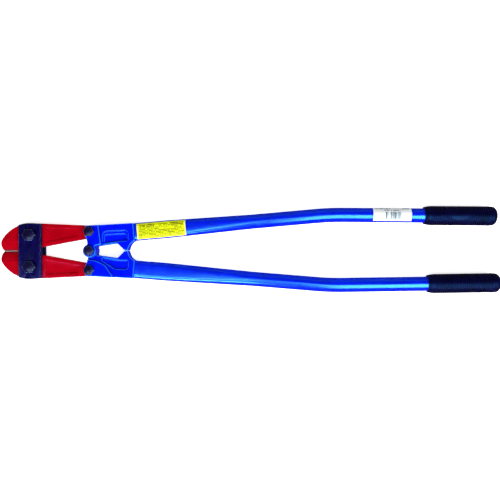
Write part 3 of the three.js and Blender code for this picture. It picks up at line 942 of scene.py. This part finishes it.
blue_deep, blue_bright = (0.0, 0.001, 0.66, 1), (0.0005, 0.004, 0.92, 1)
blue_sheen = (0.1, 0.7, 1.0, 1)
casting_blue = enamel(
    "casting enamel", blue_deep, blue_bright, grain=420, grain_depth=0.12, chip=0.60,
    rub_stretch=(1, 3, 3), gloss=0.35, sheen_colour=blue_sheen,
)
tube_blue = enamel(
    "tube enamel", blue_deep, blue_bright, grain=90, grain_depth=0.005, chip=0.64,
    rub_stretch=(0.5, 14, 14), gloss=1.0, sheen_colour=blue_sheen,
)
tube_blue.shader.inputs["IOR"].default_value = 1.8
print("enamels:", casting_blue.surface.name, "and", tube_blue.surface.name)

# %% [markdown]
# A painted highlight lightens the crests of a casting, and painted shade darkens its hollows. The skin
# is made of small even cells, so each corner can tell how far it stands out from its neighbours, and
# that value sets where the painted highlight and the painted shade go. It is what makes the relief readable.

# %% Painted highlight on crests, painted shade in hollows
pointed = casting_blue.add("NewGeometry").outputs["Pointiness"]
# Painted highlight: crests are lightened towards pale cyan.
crest = casting_blue.times(casting_blue.spread(pointed, 0.508, 0.545), 0.8)
# Painted shade: hollows are darkened towards a near black blue.
hollow_shade = casting_blue.times(casting_blue.spread(pointed, 0.492, 0.455), 0.95)
coloured = casting_blue.shader.inputs["Base Color"].links[0].from_socket
coloured = casting_blue.mix(crest, coloured, (0.03, 0.34, 1.0, 1))
casting_blue.link("Base Color", casting_blue.mix(hollow_shade, coloured, (0.0, 0.0, 0.09, 1)))

# %% [markdown]
# The blades wear differently. The paint is ground away along the cutting line, which is bright
# steel with scratches across the line, and beside it the colour is darkened in patches. Distance
# from the tool's middle line says where, because the finished blades keep their coordinates.

# %% Blade enamel
red_deep, red_bright = (0.33, 0.0, 0.004, 1), (0.45, 0.0, 0.007, 1)
blade_red = enamel(
    "blade enamel", red_deep, red_bright, grain=150, grain_depth=0.04, chip=0.60,
    rub_stretch=(0.6, 5, 5), gloss=0.3, sheen_colour=(1.0, 0.15, 0.7, 1),
)
split = blade_red.add("SeparateXYZ", {0: blade_red.place}).outputs
off_line = blade_red.math("ABSOLUTE", split["Y"])
ragged = blade_red.times(blade_red.noise(260, 5), 1.0 * mm)
near = blade_red.math("SUBTRACT", off_line, ragged)
jaw_only = blade_red.spread(split["X"], head_x - 17 * mm, head_x - 19 * mm)
ground = blade_red.times(blade_red.spread(near, 0.3 * mm, 0.0), jaw_only)
# Within a few millimetres of the cutting line, the colour is darkened in patches.
dark_patches = blade_red.times(blade_red.spread(near, 4.5 * mm, 0.4 * mm), jaw_only)
dark_patches = blade_red.times(dark_patches, blade_red.spread(blade_red.noise(95, 4), 0.36, 0.5))
painted = blade_red.shader.inputs["Base Color"].links[0].from_socket
patch_darkened = blade_red.mix(blade_red.times(dark_patches, 0.75), painted, (0.03, 0.01, 0.015, 1))
score = blade_red.noise(500, 3, 0.5, (6, 0.4, 1))
bright_steel = blade_red.mix(score, (0.05, 0.05, 0.07, 1), (0.30, 0.30, 0.36, 1))
blade_red.link("Base Color", blade_red.mix(ground, patch_darkened, bright_steel))
bare = blade_red.shader.inputs["Metallic"].links[0].from_socket
blade_red.link("Metallic", blade_red.either(bare, ground))

# %% [markdown]
# The plates and fasteners are blackened steel: heat and oil leave a blue-black film, mottled at
# every scale, thin on the corners and scuffed where washers and spanners turn. The pale blue on
# those edges is partly scuffed steel and partly a painted highlight along rims and chamfers.

# %% Blackened steel
def blackened(name, dark, light, gloss, grain_depth, shine, scuff_and_highlight_from, edge_scuff_and_highlight_colour, rim):
    """rim is how far a lightened edge reaches, in millimetres: part scuff, part painted highlight. A lower
    threshold lightens more of it.
    """
    skin = Finish(name, Metallic=0.2, Specular_IOR_Level=shine, Specular_Tint=(0.5, 0.7, 1, 1))
    mottle = skin.spread(skin.noise(70, 6, 0.65), 0.32, 0.68)
    colour = skin.mix(mottle, dark, light)
    scuff_and_highlight_patches = skin.spread(skin.noise(160, 5), scuff_and_highlight_from, scuff_and_highlight_from + 0.2)
    edge_scuff_and_highlight = skin.times(skin.edges(rim), scuff_and_highlight_patches)
    # Lightened edges: partly scuffed steel, partly a painted highlight on rims and chamfers.
    skin.link("Base Color", skin.mix(skin.times(edge_scuff_and_highlight, 0.8), colour, edge_scuff_and_highlight_colour))
    skin.link("Roughness", skin.spread(skin.noise(180, 4), 0.3, 0.7, gloss - 0.06, gloss + 0.1))
    skin.bumps((skin.noise(1100, 3), grain_depth), (skin.noise(140, 4), grain_depth))
    return skin


plate_tones = (0.0015, 0.0005, 0.035, 1), (0.004, 0.001, 0.09, 1)
bolt_tones = (0.003, 0.001, 0.022, 1), (0.010, 0.006, 0.055, 1)
plate_black = blackened(
    "blackened plate", *plate_tones, gloss=0.3, grain_depth=0.03, shine=0.2,
    scuff_and_highlight_from=0.36, edge_scuff_and_highlight_colour=(0.22, 0.32, 0.42, 1), rim=0.8,
)
# The fasteners' light blue edges are partly scuffs and partly the painted highlight of their rims.
bolt_black = blackened(
    "blackened bolt", *bolt_tones, gloss=0.26, grain_depth=0.02, shine=0.4,
    scuff_and_highlight_from=0.2, edge_scuff_and_highlight_colour=(0.26, 0.5, 0.72, 1), rim=1.5,
)

# %% [markdown]
# Moulded rubber is dark and soft-looking. Its gloss is low, its pores are fine, and pale dust
# stays in the grooves while the crests are polished by hands.

# %% Rubber
rubber = Finish("grip rubber", Specular_IOR_Level=0.3, Specular_Tint=(0.06, 0.3, 1, 1))
cloud = rubber.spread(rubber.noise(45, 4), 0.3, 0.7)
polish = rubber.spread(rubber.noise(24, 3), 0.4, 0.62)
tone = rubber.mix(cloud, (0.001, 0.0, 0.008, 1), (0.002, 0.001, 0.03, 1))
dust = rubber.spread(rubber.noise(520, 5, 0.7), 0.66, 0.8, 0.0, 0.05)
rubber.link("Base Color", rubber.mix(dust, tone, (0.06, 0.07, 0.13, 1)))
rubber.link("Roughness", rubber.spread(polish, 0.0, 1.0, 0.38, 0.26))
rubber.bumps((rubber.noise(1500, 3), 0.05), (rubber.noise(210, 3), 0.05))
print("rubber and", plate_black.surface.name, "ready")

# %% [markdown]
# The labels are printed with nothing to read: rows of small dashes where print would be, and a
# block of plain bars. Each row asks a random number for each cell of its own grid, and draws the
# cell or leaves it blank. Print is matt ink on a glossy film, with the film's edge a little worn.

# %% Rows of print
def drawn(label, column, row, seed, share):
    """Whether a cell of the grid is printed. About this share of the cells are."""
    cell = label.add("CombineXYZ", {0: column, 1: row, 2: seed}).outputs[0]
    draw = label.add("TexWhiteNoise", {0: cell}).outputs["Value"]
    return label.math("GREATER_THAN", draw, 1 - share)


def dashes(label, across, along, columns, rows, fill, share, seed):
    """Rows of dashes. across and along are the film's own coordinates, from 0 to 1."""
    column = label.math("FLOOR", label.times(along, columns))
    row_place = label.times(across, rows)
    row = label.math("FLOOR", row_place)
    off_row = label.math("ABSOLUTE", label.math("SUBTRACT", label.math("FRACT", row_place), 0.5))
    return label.times(drawn(label, column, row, seed, share), label.math("LESS_THAN", off_row, fill / 2))


def between(label, value, low, high):
    above = label.math("GREATER_THAN", value, low)
    return label.times(above, label.math("LESS_THAN", value, high))


def film_finish(name):
    """A blank film, and its coordinates along the tube and across it."""
    label = Finish(name, Roughness=0.35, Specular_IOR_Level=0.2)
    label.bumps((label.noise(260, 3), 0.03))
    chart = label.add("SeparateXYZ", {0: label.add("TexCoord").outputs["UV"]}).outputs
    return label, chart["X"], chart["Y"]


# %% Yellow label
yellow, along, across = film_finish("yellow film")
print_area = yellow.times(between(yellow, along, 0.04, 0.96), between(yellow, across, 0.09, 0.93))
rows = dashes(yellow, across, along, 74, 11, 0.46, 0.8, 3.0)
words = dashes(yellow, across, along, 13, 11, 1.0, 0.86, 8.0)
headings = yellow.either(between(yellow, along, 0.05, 0.36), between(yellow, along, 0.68, 0.95))
headings = yellow.times(headings, between(yellow, across, 0.72, 0.93))
bold = yellow.times(headings, dashes(yellow, across, along, 40, 11, 0.7, 0.8, 5.0))
ink = yellow.times(yellow.either(yellow.times(rows, words), bold), print_area)
clouds = yellow.spread(yellow.noise(60, 3), 0.35, 0.65)
film_tone = yellow.mix(clouds, (0.74, 0.83, 0.0, 1), (0.8, 0.92, 0.0, 1))
end_strips = yellow.math("SUBTRACT", 1.0, between(yellow, along, 0.025, 0.975))
film_tone = yellow.mix(yellow.times(end_strips, 0.6), film_tone, (0.95, 0.93, 0.35, 1))
yellow.link("Base Color", yellow.mix(yellow.times(ink, 0.92), film_tone, (0.07, 0.07, 0.005, 1)))

# %% White label
white, along, across = film_finish("white film")
top_row = white.either(between(white, along, 0.04, 0.45), between(white, along, 0.75, 0.94))
top_row = white.times(top_row, between(white, across, 0.70, 0.775))
second_row = white.times(between(white, across, 0.585, 0.655), between(white, along, 0.29, 0.71))
small_print = dashes(white, across, along, 62, 14, 1.0, 0.8, 2.0)
small_print = white.times(small_print, white.either(top_row, second_row))
bars = drawn(white, white.math("FLOOR", white.times(along, 150)), 7.0, 9.0, 0.58)
block = white.times(between(white, across, 0.14, 0.52), between(white, along, 0.32, 0.73))
ink = white.either(small_print, white.times(bars, block))
clouds = white.spread(white.noise(50, 3), 0.3, 0.7)
paper = white.mix(clouds, (0.82, 0.85, 0.87, 1), (0.9, 0.92, 0.93, 1))
white.link("Base Color", white.mix(white.times(ink, 0.9), paper, (0.03, 0.14, 0.2, 1)))
print("labels printed:", yellow.surface.name, "and", white.surface.name)

# %% [markdown]
# ## Putting the tool together
# Each model piece now takes the place of its plain solid, rides with the same body, and gets the
# finish made for it. The lower half of the tool is the upper half turned over, except for
# the bolts, whose heads all face up.

# %% Fit the pieces
def fit(piece, node, body, finish):
    piece.data.materials.clear()
    piece.data.materials.append(finish.surface)
    piece.name = piece.data.name = "finished_" + node
    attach(piece, body)
    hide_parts(node)


fit(turned_over(blade, "lower"), "lower_blade", "lower_jaw", blade_red)
fit(blade, "upper_blade", "upper_jaw", blade_red)
fit(turned_over(plate, "lower"), "bottom_plate", "plates", plate_black)
fit(plate, "top_plate", "plates", plate_black)
fit(turned_over(arm, "lower"), "lower_arm", "lower_handle", casting_blue)
fit(arm, "upper_arm", "upper_handle", casting_blue)
fit(turned_over(lower_pipe, "lower"), "lower_tube", "lower_handle", tube_blue)
fit(upper_pipe, "upper_tube", "upper_handle", tube_blue)
fit(turned_over(cross_pin, "lower"), "lower_cross_pin", "lower_handle", tube_blue)
fit(cross_pin, "upper_cross_pin", "upper_handle", tube_blue)
fit(turned_over(lower_sleeve, "lower"), "lower_grip", "lower_handle", rubber)
fit(upper_sleeve, "upper_grip", "upper_handle", rubber)
fit(capacity_film, "capacity_label", "upper_handle", yellow)
fit(size_film, "size_label", "upper_handle", white)
bpy.data.objects.remove(lower_pipe)
bpy.data.objects.remove(lower_sleeve)

sets = {
    "upper_plate": (plate_set, "plates"), "lower_plate": (plate_set, "plates"),
    "centre": (arm_set, "centre_pivot"), "upper_outer": (arm_set, "upper_handle"),
    "lower_outer": (arm_set, "lower_handle"),
}
for place, (pieces, body) in sets.items():
    spot = middle(f"{place}_bolt")
    for kind, model in pieces.items():
        piece = copied(model, "fastener")
        piece.location = (spot.x - head_x, spot.y, 0)
        fit(settle(piece), f"{place}_{kind}", body, bolt_black)
for model in (*plate_set.values(), *arm_set.values()):
    bpy.data.objects.remove(model)

# %% [markdown]
# ## Floor, light and camera
# The tool lies on a white floor that glows a little, as a lit table does, so that hardly any
# shadow is left. Gloss paint would mirror such a floor as a pale rim all along each tube, so the
# floor is hidden from reflections.

# %% Floor
let_go()
bpy.ops.mesh.primitive_plane_add(size=1, location=(0, 0, -0.0003))
floor = named("floor")
floor.scale = (60, 60, 1)
settle(floor)
edit(floor)
bpy.ops.mesh.select_all(action="SELECT")
bpy.ops.mesh.subdivide(number_cuts=4)
let_go()
paper_floor = Finish("floor paper", Roughness=0.9, Base_Color=(0.93, 0.93, 0.93, 1), Specular_IOR_Level=0.1)
paper_floor.shader.inputs["Emission Color"].default_value = (1, 1, 1, 1)
paper_floor.shader.inputs["Emission Strength"].default_value = 0.85
paper_floor.bumps((paper_floor.noise(300, 2), 0.02))
floor.data.materials.append(paper_floor.surface)
floor.visible_glossy = False

# %% [markdown]
# Seen from low down, the floor ends and an empty sky begins. A wide dome of the same pale tone
# closes the room. It is there for the eye only, and neither lights the tool nor shows in it.

# %% Backdrop
let_go()
bpy.ops.mesh.primitive_uv_sphere_add(segments=64, ring_count=32, radius=14)
backdrop = named("backdrop")
edit(backdrop)
bpy.ops.mesh.select_all(action="SELECT")
bpy.ops.mesh.bisect(plane_co=(0, 0, -0.01), plane_no=(0, 0, 1), clear_inner=True)
let_go()
pale = Finish("backdrop", Roughness=1.0, Base_Color=(0, 0, 0, 1), Specular_IOR_Level=0.0)
pale.shader.inputs["Emission Color"].default_value = (1, 1, 1, 1)
pale.shader.inputs["Emission Strength"].default_value = 0.86
backdrop.data.materials.append(pale.surface)
backdrop.visible_diffuse = backdrop.visible_glossy = backdrop.visible_shadow = False

# %% [markdown]
# The lights are soft boxes hung to the lower side, clear of the places that the flat faces of the
# head would mirror. A wide box over the grips lays a broad sheen on the straight part of the
# tubes. A strip over the head and a low one beside it draw the two narrow bands near the
# castings and pick out the rims of the bolts. The camera doesn't see them.

# %% Lights
def soft_light(name, place, size, power):
    let_go()
    bpy.ops.object.light_add(type="AREA", location=place)
    light = bpy.context.object
    light.name = name
    light.rotation_euler = (-Vector((0, place[1], place[2]))).to_track_quat("-Z", "Y").to_euler()
    light.data.shape = "RECTANGLE"
    light.data.size, light.data.size_y = size
    light.data.energy = power
    light.visible_camera = False


soft_light("long strip", (0.7, -0.26, 2.3), (2.2, 0.3), 6)
soft_light("strip over the head", (-0.75, -0.95, 2.2), (1.4, 0.6), 22)
soft_light("wide box over the grips", (1.1, -1.2, 2.0), (1.4, 2.0), 68)
soft_light("low side light", (-0.8, -2.0, 1.05), (1.3, 0.35), 34)
soft_light("far fill", (0, 2.4, 1.3), (4.2, 0.8), 3)
world = bpy.data.worlds.new("studio")
world.use_nodes = True
background = world.node_tree.nodes["Background"].inputs
background["Color"].default_value = (1, 1, 1, 1)
background["Strength"].default_value = 0.07
bpy.context.scene.world = world

# %% [markdown]
# The camera hangs straight over the tool, level with its middle, as for a catalogue picture. The
# plain view transform keeps the enamel as saturated as it is in the paint tin.

# %% Camera
camera_data = bpy.data.cameras.new("camera")
camera_data.lens = 42.3
camera_data.sensor_width = 36
camera_data.clip_end = 20
camera = bpy.data.objects.new("camera", camera_data)
camera.location = (-0.0011, 0.0005, half_height + 1.1)
camera.rotation_euler = (0, 0, math.radians(-0.2))
bpy.context.collection.objects.link(camera)
bpy.context.scene.camera = camera
bpy.context.scene.view_settings.view_transform = "Standard"
print("camera", round(camera.location.z, 3), "m above the floor")
